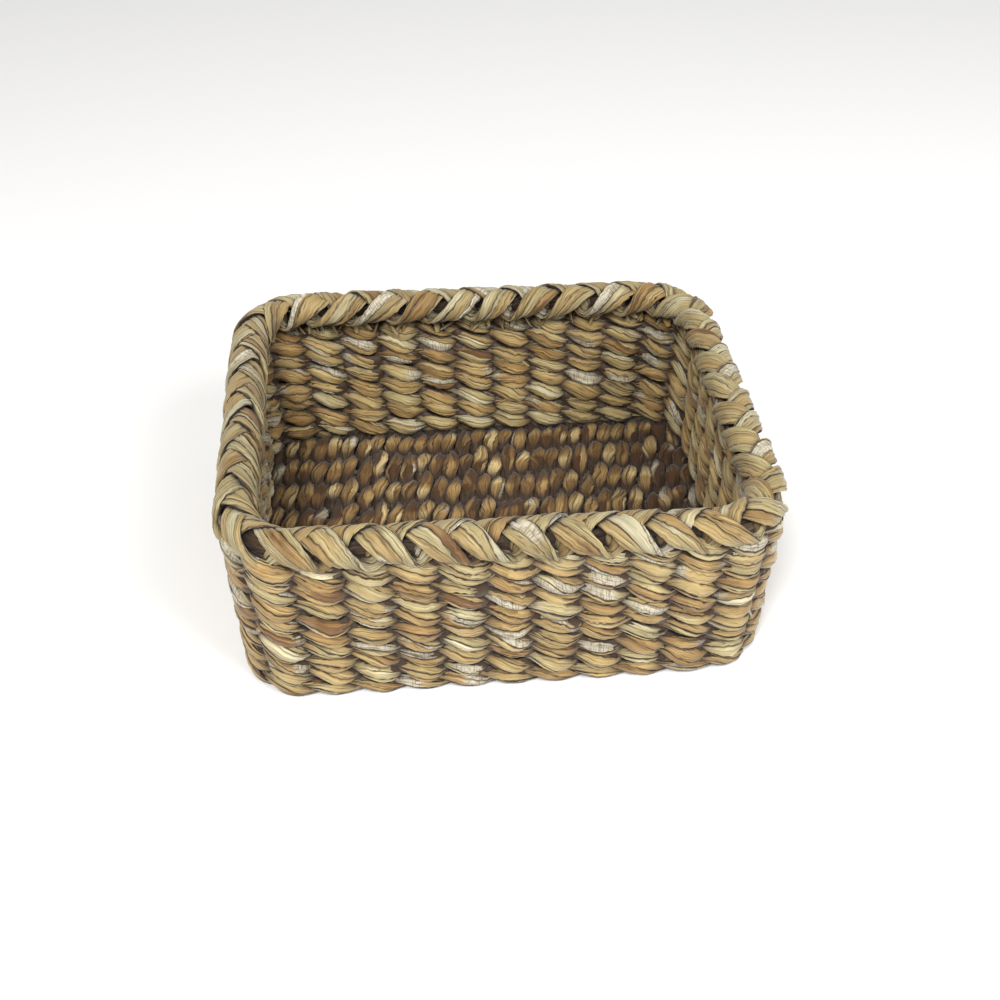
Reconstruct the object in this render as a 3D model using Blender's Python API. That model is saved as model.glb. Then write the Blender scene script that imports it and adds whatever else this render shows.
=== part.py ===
"""Rectangular seagrass storage basket, as separate woven pieces.

The frame: origin under the middle of the basket on the surface it stands on, +X along the
length, +Y towards the back, +Z up. Metres throughout.

How it is made: rods (stakes) cross the base between two layers of base weave and turn up in
the end walls; more stakes are tucked into the edge of the base and stand in the front, back
and corners. Two strands are twined round the stakes, one course above the other, and a plait
of three strands closes the rim.
"""

import math

import bmesh
import bpy
from mathutils import Vector

# Driving dimensions
RIM_LENGTH = 0.340  # over the plaited rim, along X
RIM_DEPTH = 0.280  # over the plaited rim, along Y
HEIGHT = 0.130
FLARE = 0.006  # how far the wall leans out on each side, from the base to the rim
GAP = 0.0003  # between pieces that touch

# Stakes
STAKE_COUNT = 40  # once round the basket
SIDE_STAKES = 7  # in each end wall, each one also a rod across the base
STAKE_RADIUS = 0.0020
STAKE_SIDES = 6
STAKE_BEND = 0.0040  # radius of the bend from base to wall
TUCK_LENGTH = 0.022  # how far a tucked stake reaches into the base

# Base
BASE_THICKNESS = 0.0110
ROD_HEIGHT = 0.0054  # middle of the rods over the ground
BASE_CORNER = 0.030

# Wall
COURSES = 8
WALL_CORNER = 0.034  # corner radius of the wall's middle line
STRAND_THICKNESS = 0.0036
STAKE_ROOM = 0.0009  # between a stake and the strand that passes it
RIM_OVERHANG = 0.0040  # from the wall's outer face to the plait's, at the top of the wall

# Foot rope
ROPE_OFFSET = 0.0065  # outwards from the foot of the wall's middle line
ROPE_HEIGHT = 0.0105
ROPE_WIDTH = 0.0068

# Plaited rim
PLAIT_STRANDS = 3
PLAIT_CYCLES = 13  # times that each strand crosses over and back, once round
STEPS_PER_CYCLE = 9
PLAIT_SWAY = 0.0090  # sideways reach of a strand's middle line
PLAIT_RISE = 0.0070  # its reach over and under the others
PLAIT_TILT = math.radians(35)  # the plait's face looks up and this far outwards
STRAND_HALF_BREADTH = 0.0046  # of one strand of the plait
STRAND_HALF_DEPTH = 0.0042
PLAIT_CORNER = 0.038

TAN = (0.52, 0.38, 0.20)
PALE = (0.55, 0.48, 0.30)
BROWN = (0.30, 0.19, 0.09)


def clear_scene():
    for item in list(bpy.data.objects):
        bpy.data.objects.remove(item, do_unlink=True)


def seagrass(name, colour, roughness):
    material = bpy.data.materials.new(name)
    material.use_nodes = True
    shader = material.node_tree.nodes["Principled BSDF"]
    shader.inputs["Base Color"].default_value = (*colour, 1.0)
    shader.inputs["Roughness"].default_value = roughness
    shader.inputs["Metallic"].default_value = 0.0
    return material


def outline(half_length, half_depth, corner, share):
    """Point and outward direction at a share of a rounded rectangle's way round.

    It starts at the middle of the front and runs towards +X.
    """
    straight_x = half_length - corner
    straight_y = half_depth - corner
    arc = math.pi / 2 * corner
    way = (share % 1.0) * (4 * straight_x + 4 * straight_y + 4 * arc)
    runs = (
        (straight_x, None, (0, -half_depth), (1, 0)),
        (arc, -math.pi / 2, (straight_x, -straight_y), None),
        (2 * straight_y, None, (half_length, -straight_y), (0, 1)),
        (arc, 0.0, (straight_x, straight_y), None),
        (2 * straight_x, None, (straight_x, half_depth), (-1, 0)),
        (arc, math.pi / 2, (-straight_x, straight_y), None),
        (2 * straight_y, None, (-half_length, straight_y), (0, -1)),
        (arc, math.pi, (-straight_x, -straight_y), None),
        (straight_x, None, (-straight_x, -half_depth), (1, 0)),
    )
    for length, start_angle, place, heading in runs:
        if way > length:
            way -= length
            continue
        if heading is None:
            angle = start_angle + way / corner
            out = Vector((math.cos(angle), math.sin(angle), 0))
            return Vector((*place, 0)) + corner * out, out
        out = Vector((heading[1], -heading[0], 0))
        return Vector((*place, 0)) + way * Vector((*heading, 0)), out
    return Vector((0, -half_depth, 0)), Vector((0, -1, 0))


def plait_section(phase):
    """Corners of a strand's section, outwards and up from the plait's middle line."""
    outward = Vector((math.cos(PLAIT_TILT), -math.sin(PLAIT_TILT)))
    face = Vector((math.sin(PLAIT_TILT), math.cos(PLAIT_TILT)))
    centre = PLAIT_SWAY * math.sin(phase) * outward + PLAIT_RISE * math.sin(2 * phase) * face
    corners = []
    for corner in range(4):
        angle = math.pi / 2 * corner
        sideways = STRAND_HALF_BREADTH * math.sin(angle) * outward
        corners.append(centre + sideways + STRAND_HALF_DEPTH * math.cos(angle) * face)
    return corners


# Heights and half sizes that follow from the driving dimensions
PLAIT_CORNERS = [
    corner
    for step in range(STEPS_PER_CYCLE)
    for corner in plait_section(2 * math.pi * step / STEPS_PER_CYCLE)
]
PLAIT_REACH = max(corner.x for corner in PLAIT_CORNERS)
PLAIT_HALF_LENGTH = RIM_LENGTH / 2 - PLAIT_REACH
PLAIT_HALF_DEPTH = RIM_DEPTH / 2 - PLAIT_REACH
PLAIT_HEIGHT = HEIGHT - max(corner.y for corner in PLAIT_CORNERS)
WALL_TOP = PLAIT_HEIGHT + min(corner.y for corner in PLAIT_CORNERS) - GAP
COURSE_PITCH = (WALL_TOP - BASE_THICKNESS) / COURSES
WALL_HALF_THICKNESS = STAKE_RADIUS + STAKE_ROOM + STRAND_THICKNESS
TOP_HALF_LENGTH = RIM_LENGTH / 2 - RIM_OVERHANG - WALL_HALF_THICKNESS
TOP_HALF_DEPTH = RIM_DEPTH / 2 - RIM_OVERHANG - WALL_HALF_THICKNESS


def wall_half_sizes(height):
    """Half length and half depth of the wall's middle line at a height."""
    lean = FLARE * (1 - height / WALL_TOP)
    return TOP_HALF_LENGTH - lean, TOP_HALF_DEPTH - lean


def wall_point(share, height):
    """Point on the wall's middle line, and the outward direction there."""
    half_length, half_depth = wall_half_sizes(height)
    point, out = outline(half_length, half_depth, WALL_CORNER, share)
    return point + Vector((0, 0, height)), out


def mesh_object(name, points, faces, material):
    mesh = bpy.data.meshes.new(name)
    mesh.from_pydata([tuple(point) for point in points], [], faces)
    mesh.update()
    mesh.materials.append(material)
    mesh.shade_smooth()
    mesh.set_sharp_from_angle(angle=math.radians(40))
    piece = bpy.data.objects.new(name, mesh)
    bpy.context.scene.collection.objects.link(piece)
    return piece


def ring_faces(rings, sides, closed, hollow_side=None):
    """Triangles that join rings of points, and cap the two ends of an open run.

    Each quad is split from its first ring's later point to its second ring's earlier point,
    except on the hollow side, where the other diagonal leaves room for a twined partner.
    """
    faces = []
    last = rings if closed else rings - 1
    for ring in range(last):
        here = ring * sides
        there = (ring + 1) % rings * sides
        for side in range(sides):
            after = (side + 1) % sides
            if side == hollow_side:
                faces.append((here + side, here + after, there + after))
                faces.append((here + side, there + after, there + side))
            else:
                faces.append((here + side, here + after, there + side))
                faces.append((here + after, there + after, there + side))
    if not closed:
        faces.append(tuple(range(sides))[::-1])
        faces.append(tuple(range((rings - 1) * sides, rings * sides)))
    return faces


def twined_strand(name, centre, half, room, thickness, height, width, turn, material):
    """One strand of a twined pair, all the way round the basket.

    centre(share) gives a point on the pair's middle line and the outward direction. The
    strand stands beside a stake at every whole step, room away from the middle line, and
    lies over or under its partner half way to the next stake. It turns a quarter turn from
    one such place to the next, always the same way. half is 0 or 1 for the two partners.
    """
    points = []
    up = Vector((0, 0, 1))
    rings = 2 * STAKE_COUNT
    for ring in range(rings):
        middle, out = centre(ring / rings)
        angle = half * math.pi + turn * ring * math.pi / 2
        away = math.cos(angle) * out + math.sin(angle) * up
        along = -math.sin(angle) * out + math.cos(angle) * up
        if ring % 2 == 0:
            near, far, reach = room, room + thickness, height / 2
        else:
            near, far, reach = GAP / 2, height / 2, width / 2
        for distance, side in ((near, -reach), (near, reach), (far, reach), (far, -reach)):
            points.append(middle + distance * away + side * along)
    return mesh_object(name, points, ring_faces(rings, 4, True, hollow_side=0), material)


def wall_courses(materials):
    """Courses of two strands twined round the stakes."""
    room = STAKE_RADIUS + STAKE_ROOM
    height = COURSE_PITCH - GAP
    for course in range(COURSES):
        middle_height = BASE_THICKNESS + (course + 0.5) * COURSE_PITCH
        for half, letter in enumerate("ab"):
            twined_strand(
                f"course_{course + 1:02d}_strand_{letter}",
                lambda share: wall_point(share, middle_height),
                half,
                room,
                STRAND_THICKNESS,
                height,
                2 * room,
                -1,
                materials[(course + half) % len(materials)],
            )


def foot_rope(materials):
    """A thicker pair of strands round the foot of the wall, outside the stakes' bends."""

    def centre(share):
        point, out = wall_point(share, 0.0)
        return point + ROPE_OFFSET * out + Vector((0, 0, ROPE_HEIGHT / 2)), out

    for half, letter in enumerate("ab"):
        twined_strand(
            f"foot_rope_strand_{letter}",
            centre,
            half,
            GAP / 2,
            (ROPE_WIDTH - GAP) / 2,
            ROPE_HEIGHT,
            ROPE_WIDTH,
            -1,
            materials[half],
        )


def rod(name, path, side, material):
    """A rod along a path that stays nearly in the plane across side."""
    points = []
    for index, place in enumerate(path):
        before = path[max(index - 1, 0)]
        after = path[min(index + 1, len(path) - 1)]
        heading = (after - before).normalized()
        across = (side - side.dot(heading) * heading).normalized()
        above = heading.cross(across)
        for step in range(STAKE_SIDES):
            angle = 2 * math.pi * step / STAKE_SIDES
            spoke = math.cos(angle) * across + math.sin(angle) * above
            points.append(place + STAKE_RADIUS * spoke)
    return mesh_object(name, points, ring_faces(len(path), STAKE_SIDES, False), material)


def rising_path(share):
    """From the start of the bend in the base, round it and up to the top of the wall."""
    foot, out = wall_point(share, ROD_HEIGHT + STAKE_BEND)
    hub = foot - STAKE_BEND * out
    bend = []
    for step in range(4):
        angle = math.pi / 2 * (step / 3 - 1)
        spoke = math.cos(angle) * out + math.sin(angle) * Vector((0, 0, 1))
        bend.append(hub + STAKE_BEND * spoke)
    top, _ = wall_point(share, WALL_TOP - GAP)
    return bend + [top]


def cross_rods(material):
    """Rods across the base that turn up as the stakes of both end walls."""
    quarter = STAKE_COUNT // 4
    for index in range(SIDE_STAKES):
        step = quarter + index - SIDE_STAKES // 2
        right = rising_path(step / STAKE_COUNT)
        left = rising_path(1 - step / STAKE_COUNT)
        rod(f"cross_rod_{index + 1}", left[::-1] + right, Vector((0, 1, 0)), material)


def tucked_stakes(material):
    """Stakes of the front, the back and the corners, tucked into the edge of the base."""
    quarter = STAKE_COUNT // 4
    side_reach = SIDE_STAKES // 2
    counts = {}
    for step in range(STAKE_COUNT):
        from_side = min(abs(step - quarter), abs(step - 3 * quarter))
        if from_side <= side_reach:
            continue
        place = "corner" if from_side <= side_reach + 2 else "front"
        if place == "front" and quarter < step < 3 * quarter:
            place = "back"
        counts[place] = counts.get(place, 0) + 1
        path = rising_path(step / STAKE_COUNT)
        _, out = wall_point(step / STAKE_COUNT, 0.0)
        path.insert(0, path[0] - (TUCK_LENGTH - STAKE_BEND) * out)
        across = Vector((-out.y, out.x, 0))
        rod(f"{place}_stake_{counts[place]}", path, across, material)


def base_layer(name, flat_height, hollow_height, ridge_height, inset, material):
    """One layer of the base weave: a plate with ridges that fill in between the rods."""
    half_length, half_depth = wall_half_sizes(0.0)
    rod_places = sorted(
        wall_point((STAKE_COUNT // 4 + index - SIDE_STAKES // 2) / STAKE_COUNT, 0.0)[0].y
        for index in range(SIDE_STAKES)
    )
    groove = STAKE_RADIUS + 2 * GAP
    profile = [(-half_depth, flat_height), (-half_depth, hollow_height)]
    for near, far in zip(rod_places, rod_places[1:]):
        profile += [(near + groove, hollow_height), (near + 2 * groove, ridge_height)]
        profile += [(far - 2 * groove, ridge_height), (far - groove, hollow_height)]
    profile += [(half_depth, hollow_height), (half_depth, flat_height)]
    shape = bmesh.new()
    ends = []
    for x in (-half_length, half_length):
        ends.append([shape.verts.new((x, y, z)) for y, z in profile])
    shape.faces.new(ends[0])
    shape.faces.new(ends[1][::-1])
    for index in range(len(profile)):
        after = (index + 1) % len(profile)
        corners = (ends[0][index], ends[0][after], ends[1][after], ends[1][index])
        shape.faces.new(corners)
    bmesh.ops.recalc_face_normals(shape, faces=shape.faces)
    mesh = bpy.data.meshes.new(name)
    shape.to_mesh(mesh)
    shape.free()
    mesh.materials.append(material)
    layer = bpy.data.objects.new(name, mesh)
    bpy.context.scene.collection.objects.link(layer)
    trim = layer.modifiers.new("rounded_corners", "BOOLEAN")
    trim.operation = "INTERSECT"
    trim.object = outline_guide(f"{name}_outline", inset)
    return layer


def outline_guide(name, inset):
    """Guide that cuts a base layer to the foot of the wall, less an inset."""
    half_length, half_depth = wall_half_sizes(0.0)
    steps = 6
    corners = []
    for quarter in range(4):
        x_side = 1 if quarter in (0, 3) else -1
        y_side = 1 if quarter in (0, 1) else -1
        for step in range(steps + 1):
            angle = math.pi / 2 * (quarter + step / steps)
            x = x_side * (half_length - BASE_CORNER) + (BASE_CORNER - inset) * math.cos(angle)
            y = y_side * (half_depth - BASE_CORNER) + (BASE_CORNER - inset) * math.sin(angle)
            corners.append((x, y))
    count = len(corners)
    points = [(x, y, -BASE_THICKNESS) for x, y in corners]
    points += [(x, y, 2 * BASE_THICKNESS) for x, y in corners]
    faces = [tuple(range(count))[::-1], tuple(range(count, 2 * count))]
    for index in range(count):
        after = (index + 1) % count
        faces.append((index, after, count + after, count + index))
    mesh = bpy.data.meshes.new(name)
    mesh.from_pydata(points, [], faces)
    guide = bpy.data.objects.new(name, mesh)
    guide.hide_render = True
    guide.display_type = "WIRE"
    bpy.context.scene.collection.objects.link(guide)
    return guide


def plait_strand(name, index, material):
    """One of the rim's three strands, which sways from side to side and over and under."""
    rings = PLAIT_CYCLES * STEPS_PER_CYCLE
    points = []
    for ring in range(rings):
        middle, out = outline(PLAIT_HALF_LENGTH, PLAIT_HALF_DEPTH, PLAIT_CORNER, ring / rings)
        phase = 2 * math.pi * (ring / STEPS_PER_CYCLE + index / PLAIT_STRANDS)
        for corner in plait_section(phase):
            points.append(middle + corner.x * out + Vector((0, 0, PLAIT_HEIGHT + corner.y)))
    return mesh_object(name, points, ring_faces(rings, 4, True), material)


def main():
    clear_scene()
    tan = seagrass("seagrass_tan", TAN, 0.62)
    pale = seagrass("seagrass_pale", PALE, 0.62)
    brown = seagrass("seagrass_brown", BROWN, 0.75)
    lower_hollow = ROD_HEIGHT - STAKE_RADIUS - GAP
    upper_hollow = ROD_HEIGHT + STAKE_RADIUS + GAP
    lower_ridge = ROD_HEIGHT - GAP / 2
    upper_ridge = ROD_HEIGHT + GAP / 2
    base_layer("base_weave_lower", 0.0, lower_hollow, lower_ridge, GAP, brown)
    base_layer("base_weave_upper", BASE_THICKNESS, upper_hollow, upper_ridge, STAKE_BEND + GAP, tan)
    cross_rods(brown)
    tucked_stakes(brown)
    foot_rope((tan, pale))
    wall_courses((tan, pale))
    for index in range(PLAIT_STRANDS):
        plait_strand(f"rim_plait_strand_{index + 1}", index, (tan, pale, tan)[index])


main()
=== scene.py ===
import math

import bpy
import numpy as np
from mathutils import Matrix, Vector


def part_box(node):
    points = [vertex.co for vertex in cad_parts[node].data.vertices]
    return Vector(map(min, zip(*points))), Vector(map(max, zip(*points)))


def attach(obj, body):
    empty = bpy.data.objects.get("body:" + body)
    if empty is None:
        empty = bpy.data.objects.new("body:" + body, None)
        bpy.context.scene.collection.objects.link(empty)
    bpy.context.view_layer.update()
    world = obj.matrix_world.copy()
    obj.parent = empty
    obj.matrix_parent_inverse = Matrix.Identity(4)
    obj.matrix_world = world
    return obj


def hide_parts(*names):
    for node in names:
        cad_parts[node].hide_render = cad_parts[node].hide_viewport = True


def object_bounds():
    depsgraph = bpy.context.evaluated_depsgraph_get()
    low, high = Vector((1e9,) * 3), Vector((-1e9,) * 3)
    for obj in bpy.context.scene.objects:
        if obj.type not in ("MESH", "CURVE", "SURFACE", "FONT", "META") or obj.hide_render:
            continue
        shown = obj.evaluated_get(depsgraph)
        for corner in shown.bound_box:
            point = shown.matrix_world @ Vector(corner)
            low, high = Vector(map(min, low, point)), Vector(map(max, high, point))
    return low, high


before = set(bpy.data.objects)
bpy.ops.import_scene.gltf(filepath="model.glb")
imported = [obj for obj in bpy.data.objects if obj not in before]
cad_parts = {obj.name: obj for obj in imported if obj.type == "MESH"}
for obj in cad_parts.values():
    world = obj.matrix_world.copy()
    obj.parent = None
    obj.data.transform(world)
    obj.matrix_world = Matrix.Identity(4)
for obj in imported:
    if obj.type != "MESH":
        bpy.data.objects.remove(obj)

# The seagrass basket: each strand of the courses, the foot rope and the rim is a bundle of
# leaf strips of its own, twined or plaited where the frame says. Metres and radians.
#
# A pair of a strand's sizes holds the one at a crossing, where it passes its partner, and
# the one at a stitch, where it bulges over a stake.

CAD_LOW, CAD_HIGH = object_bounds()
UP = np.array([0.0, 0.0, 1.0])

# Wall: two strands twined round the stakes in each course
STAKES = 40
COURSES = 8
WALL_CORNER = 0.034
STRAND_REACH = 0.0065
RINGS_PER_STITCH = 12
STITCH_DISTANCE = 0.0037
CROSSING_RISE = 0.0033
STITCH_SAG = 0.0010
STRAND_THICK = (0.0035, 0.0026)
STRAND_BROAD = (0.0026, 0.0060)
HEART_THICK = (0.0036, 0.0016)
HEART_BROAD = (0.0064, 0.0052)
STITCH_TILT = math.radians(10)
DWELL = 1.3
BULGE_POWER = 0.60
STRIP_COUNTS = (3, 4, 4, 5)
TWISTS = (-9, 4)
TINT_BY_STRAND = 0.12
BINDING_RISE = 0.70
# A thin dark sheet along each course's middle: painted shade, seen through the gaps between
# stitches
SHADE_SHEET_THICK, SHADE_SHEET_BROAD = 0.0008, 0.0070

# How unevenly the wall's stitches are laid: along the course in stitches, then in metres
COURSE_STAGGER = 0.15
STAGGER_SPREAD = 0.05
STITCH_SWAY = 0.09
COURSE_WANDER = 0.0008
STITCH_LIFT = 0.0010
STITCH_BULGE = 0.0007
STITCH_PLUMPNESS = 0.12

# Foot rope: two strands twined under the wall
FOOT_REACH = 0.0069
FOOT_CORNER = 0.038
FOOT_DISTANCE = 0.0022
FOOT_RISE = 0.0024
FOOT_THICK = (0.0034, 0.0024)
FOOT_BROAD = (0.0025, 0.0048)
FOOT_HEART_THICK = (0.0030, 0.0016)
FOOT_HEART_BROAD = (0.0046, 0.0038)
FOOT_LIFT = 0.0007
FOOT_WAVE = 0.0016

# Rim: three strands plaited
PLAIT_CYCLES = 13
PLAIT_CORNER = 0.038
PLAIT_DROP = 0.0155
PLAIT_REACH = 0.0138
PLAIT_HALF_WIDTH = 0.0080
PLAIT_HALF_HEIGHT = 0.0100
PLAIT_CREST = math.radians(-2)
PLAIT_OUTER_WRAP, PLAIT_INNER_WRAP = math.radians(122), math.radians(112)
PLAIT_STRAIGHTNESS = 0.93
PLAIT_OUTWARD_SHARE = 0.73
PLAIT_TURN_BLUR = 0.2
PLAIT_RISE = 0.0023
RIM_FACE_THICK, RIM_EDGE_THICK = 0.0019, 0.0024
RIM_FACE_BROAD, RIM_EDGE_BROAD = 0.0082, 0.0048
RIM_ROLL = 2.0
RIM_STRIPS = 5
RIM_TWISTS = (-5, 3)
RIM_HEART_THINNER, RIM_HEART_NARROWER = 0.0008, 0.0010
RINGS_PER_CYCLE = 48
PLAIT_PACE_WANDER = 0.16
PLAIT_WRAP_WANDER = 0.09
PLAIT_RISE_WANDER = 0.0004
PLAIT_PLUMPNESS = 0.10

# The folded stake ends inside the rim, measured up from the plait's underside
FILLING_HEIGHT = 0.0095
FILLING_SHIFT = 0.0010
FILLING_UNEVENNESS = 0.10
RINGS_PER_FOLD = 8
FILLING_THICK, FILLING_BROAD = 0.0044, 0.0076
FILLING_RIND = 0.0004

# Stakes and cross rods: rolled leaves that stand in the wall and lie across the base. The
# slant is a direction that none of them runs along.
CROSS_RODS = 7
SIDE_STAKES = 9
STAKE_RADIUS = 0.0023
STAKE_BEND = 0.0040
STAKE_TIP = 0.008
STAKE_RINGS = 40
ROD_HEIGHT = 0.0054
ROD_LEAF_THICKNESS = 0.0005
ROD_HEART = 0.8
SLANT = np.array([0.31, 0.92, 0.24])

# Base: rows twined round the cross rods
ROW_PITCH = 0.0105
BASE_STEP = 0.0024
BASE_PARTS = 3
BASE_CORNER = 0.030
BASE_GAP = 0.001
ROW_SHIFT = 0.0007
ROW_SLACK = 0.45
BASE_RISE = 0.0033
BASE_SWING = 0.0024
BASE_LIFT = 0.0004
BASE_THICK = (0.0021, 0.0018)
BASE_BROAD = (0.0013, 0.0049)
BASE_HEART_THICK, BASE_HEART_BROAD = 0.0012, 0.0053
BASE_BULGE_POWER = 0.9
BASE_LEAF_THICKNESS = 0.0009
BASE_TINT_BY_STRAND, BASE_TINT_BY_STITCH = 0.14, 0.26

# Torn ends, with their least and greatest sizes and distances
SHRED_RINGS = 7
SHRED_SIDES = 6
SHRED_TAPER = 0.6
CUT_ENDS = (3, 8)
CUT_END_INSET, CUT_END_RISE = (0.0060, 0.0080), (0.009, 0.012)
CUT_END_LENGTH, CUT_END_WIDTH = (0.006, 0.011), (0.003, 0.007)
STUB_CHANCE = 0.22
STUB_START = 0.0035
STUB_RISE = (-0.006, 0.006)
STUB_LENGTH, STUB_WIDTH = (0.005, 0.011), (0.0018, 0.004)
RIM_FIBRES = 45
FIBRE_ANGLE = (-1.7, 2.0)
FIBRE_CLEARANCE = 0.0002
FIBRE_CURL = 0.12
FIBRE_LENGTH, FIBRE_WIDTH = (0.006, 0.018), (0.0006, 0.0022)

# Leaf strips. Their spans round a strand are shares of the way round it, their heights and
# folds are in leaf thicknesses, and their grain runs over a nominal width.
LEAF_THICKNESS = 0.0011
LEAF_WIDTH = 0.007
LEAF_SIDES = 8
UNDERSIDE = (0.95, 0.05)
SECTION_POINTS = 181
STRIP_OVERLAP = 0.08
NARROWEST_STRIP = 0.03
EDGE_SHIFT = 0.48
EDGE_DRIFT = 0.06
RAGGED = 0.05
CROWN = (0.35, 0.75)
TOP_EDGE_LIFT = 0.75
CREASE_PLACE = (0.30, 0.70)
CREASE_DEPTH, CREASE_WIDTH = 0.9, 0.09
PLEATS, PLEAT_DEPTH = 2.2, 0.20
CRUMPLE = 0.14
LEAF_FOLD = math.radians(42)
TINT_BY_STRIP, TINT_BY_STITCH = 0.16, 0.10
GREATEST_MARK = 40
CORE_SIDES = 8
# Full painted shade for the packed fibre and the sheet behind the stitches, seen only in gaps
CORE_DARKNESS = 3.0

# How far the handmade basket is from true, as shares of its size, and how its foot gives
HEIGHT_DRIFT_X = 0.018
HEIGHT_DRIFT_Y = 0.023
HEIGHT_LOSS = 0.012
TOP_NARROWING_X = 0.018
TOP_WIDENING_Y = 0.026
SHEAR = 0.005
FOOT_GIVE = 0.0008

# Leaf colours from the darkest tint to the palest
LEAF_COLOURS = (
    (0.00, (0.19, 0.086, 0.023)),
    (0.25, (0.37, 0.226, 0.076)),
    (0.50, (0.46, 0.325, 0.130)),
    (0.75, (0.46, 0.375, 0.178)),
    (1.00, (0.60, 0.540, 0.350)),
)
RIM_SHADE = 0.79
RIM_COLOURS = tuple((tint, tuple(RIM_SHADE * part for part in rgb)) for tint, rgb in LEAF_COLOURS)
BASE_COLOURS = (
    (0.00, (0.080, 0.034, 0.010)),
    (0.30, (0.20, 0.110, 0.035)),
    (0.60, (0.37, 0.235, 0.085)),
    (1.00, (0.62, 0.480, 0.230)),
)
WOOL_SHADOW, WOOL = (0.30, 0.24, 0.14), (0.56, 0.52, 0.40)
# Dark brown on strip edges and undersides: partly the leaf's own browner edge, partly painted
# shadow
EDGE_BROWN_AND_SHADOW = (0.060, 0.030, 0.012)
SPOT_BROWN = (0.16, 0.09, 0.04)
LINE_BROWN = (0.07, 0.035, 0.014)
# Painted shade where a strip passes under another and on hidden parts
PAINTED_SHADE_BROWN = (0.045, 0.022, 0.008)
# Painted shade in crevices, found by ambient occlusion
PAINTED_CREVICE_SHADE = (0.018, 0.008, 0.003)

# The grain's noise: cycles in a metre along the leaf, in a metre across it, and in its mark
STREAKS = (25.0, 1900.0, 1.0)
BLOTCHES = (60.0, 260.0, 1.0)
FLECKS = (1000.0, 300.0, 1.0)
LINES = (18.0, 700.0, 1.0)
PLAIN_HALF_WIDTH = 0.0027
# How far the ambient occlusion looks for the painted crevice shade, in metres
CREVICE_REACH = 0.0060

# Studio and camera
FLOOR_REACH = 6.0
LIT_POINT = (0, 0, 0.05)
CAMERA_PLACE = (-0.0547, -0.693, 0.612)
CAMERA_YAW, CAMERA_PITCH, CAMERA_ROLL = math.radians(4.45), math.radians(39.5), math.radians(-0.45)
CAMERA_LENS = 48.7
CAMERA_SHIFT = 0.0114


def outline(half_length, half_depth, corner, share):
    """Points at shares of a rounded rectangle's way round, and the outward directions.

    It starts at the middle of the front and runs towards +X. A point is a corner's length
    out from an inner rectangle, and along a straight run only the inner point moves.
    """
    x = half_length - corner
    y = half_depth - corner
    arc = corner * math.pi / 2
    ends = np.cumsum([0, x, arc, 2 * y, arc, 2 * x, arc, 2 * y, arc, x])
    way = (np.asarray(share) % 1) * ends[-1]
    inner_x = np.interp(way, ends, [0, x, x, x, x, -x, -x, -x, -x, 0])
    inner_y = np.interp(way, ends, [-y, -y, -y, y, y, y, y, -y, -y, -y])
    quarters = np.interp(way, ends, [-1, -1, 0, 0, 1, 1, 2, 2, 3, 3])
    turn = quarters * math.pi / 2
    out = np.stack([np.cos(turn), np.sin(turn), np.zeros_like(turn)], axis=-1)
    inner = np.stack([inner_x, inner_y, np.zeros_like(turn)], axis=-1)
    return inner + corner * out, out


def handmade(points):
    """Moves points from the true shape to the slightly uneven one of a basket made by hand."""
    x, y, z = points[..., 0], points[..., 1], points[..., 2]
    side_x = np.clip(x / (CAD_HIGH.x - PLAIT_REACH), -1, 1)
    side_y = np.clip(y / (CAD_HIGH.y - PLAIT_REACH), -1, 1)
    rise = np.clip(z / CAD_HIGH.z, 0, 1)
    moved = np.empty_like(points)
    moved[..., 0] = x * (1 - TOP_NARROWING_X * rise) - SHEAR * y
    moved[..., 1] = y * (1 + TOP_WIDENING_Y * rise)
    height = z * (1 - HEIGHT_LOSS - HEIGHT_DRIFT_X * side_x - HEIGHT_DRIFT_Y * side_y)
    moved[..., 2] = FOOT_GIVE * np.logaddexp(0, height / FOOT_GIVE)
    return moved


def ripple(count, waves, rng):
    """A smooth closed curve of values, mostly between -1 and 1, with up to so many waves."""
    place = np.arange(count) / count * 2 * math.pi
    total = np.zeros(count)
    for wave in range(1, waves + 1):
        total += rng.normal() * np.sin(wave * place + rng.uniform(0, 2 * math.pi))
    return total / math.sqrt(waves)


def stepped(values, per_step, blend):
    """Holds each of a ring's values for a step, with a soft change half way to the next."""
    steps = len(values)
    place = np.arange(steps * per_step) / per_step
    before = np.floor(place).astype(int)
    share = np.clip((place - before - 0.5) / blend + 0.5, 0, 1)
    share = share * share * (3 - 2 * share)
    return values[before % steps] * (1 - share) + values[(before + 1) % steps] * share


def add_object(name, data):
    made = bpy.data.objects.new(name, data)
    bpy.context.scene.collection.objects.link(made)
    return made


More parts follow.
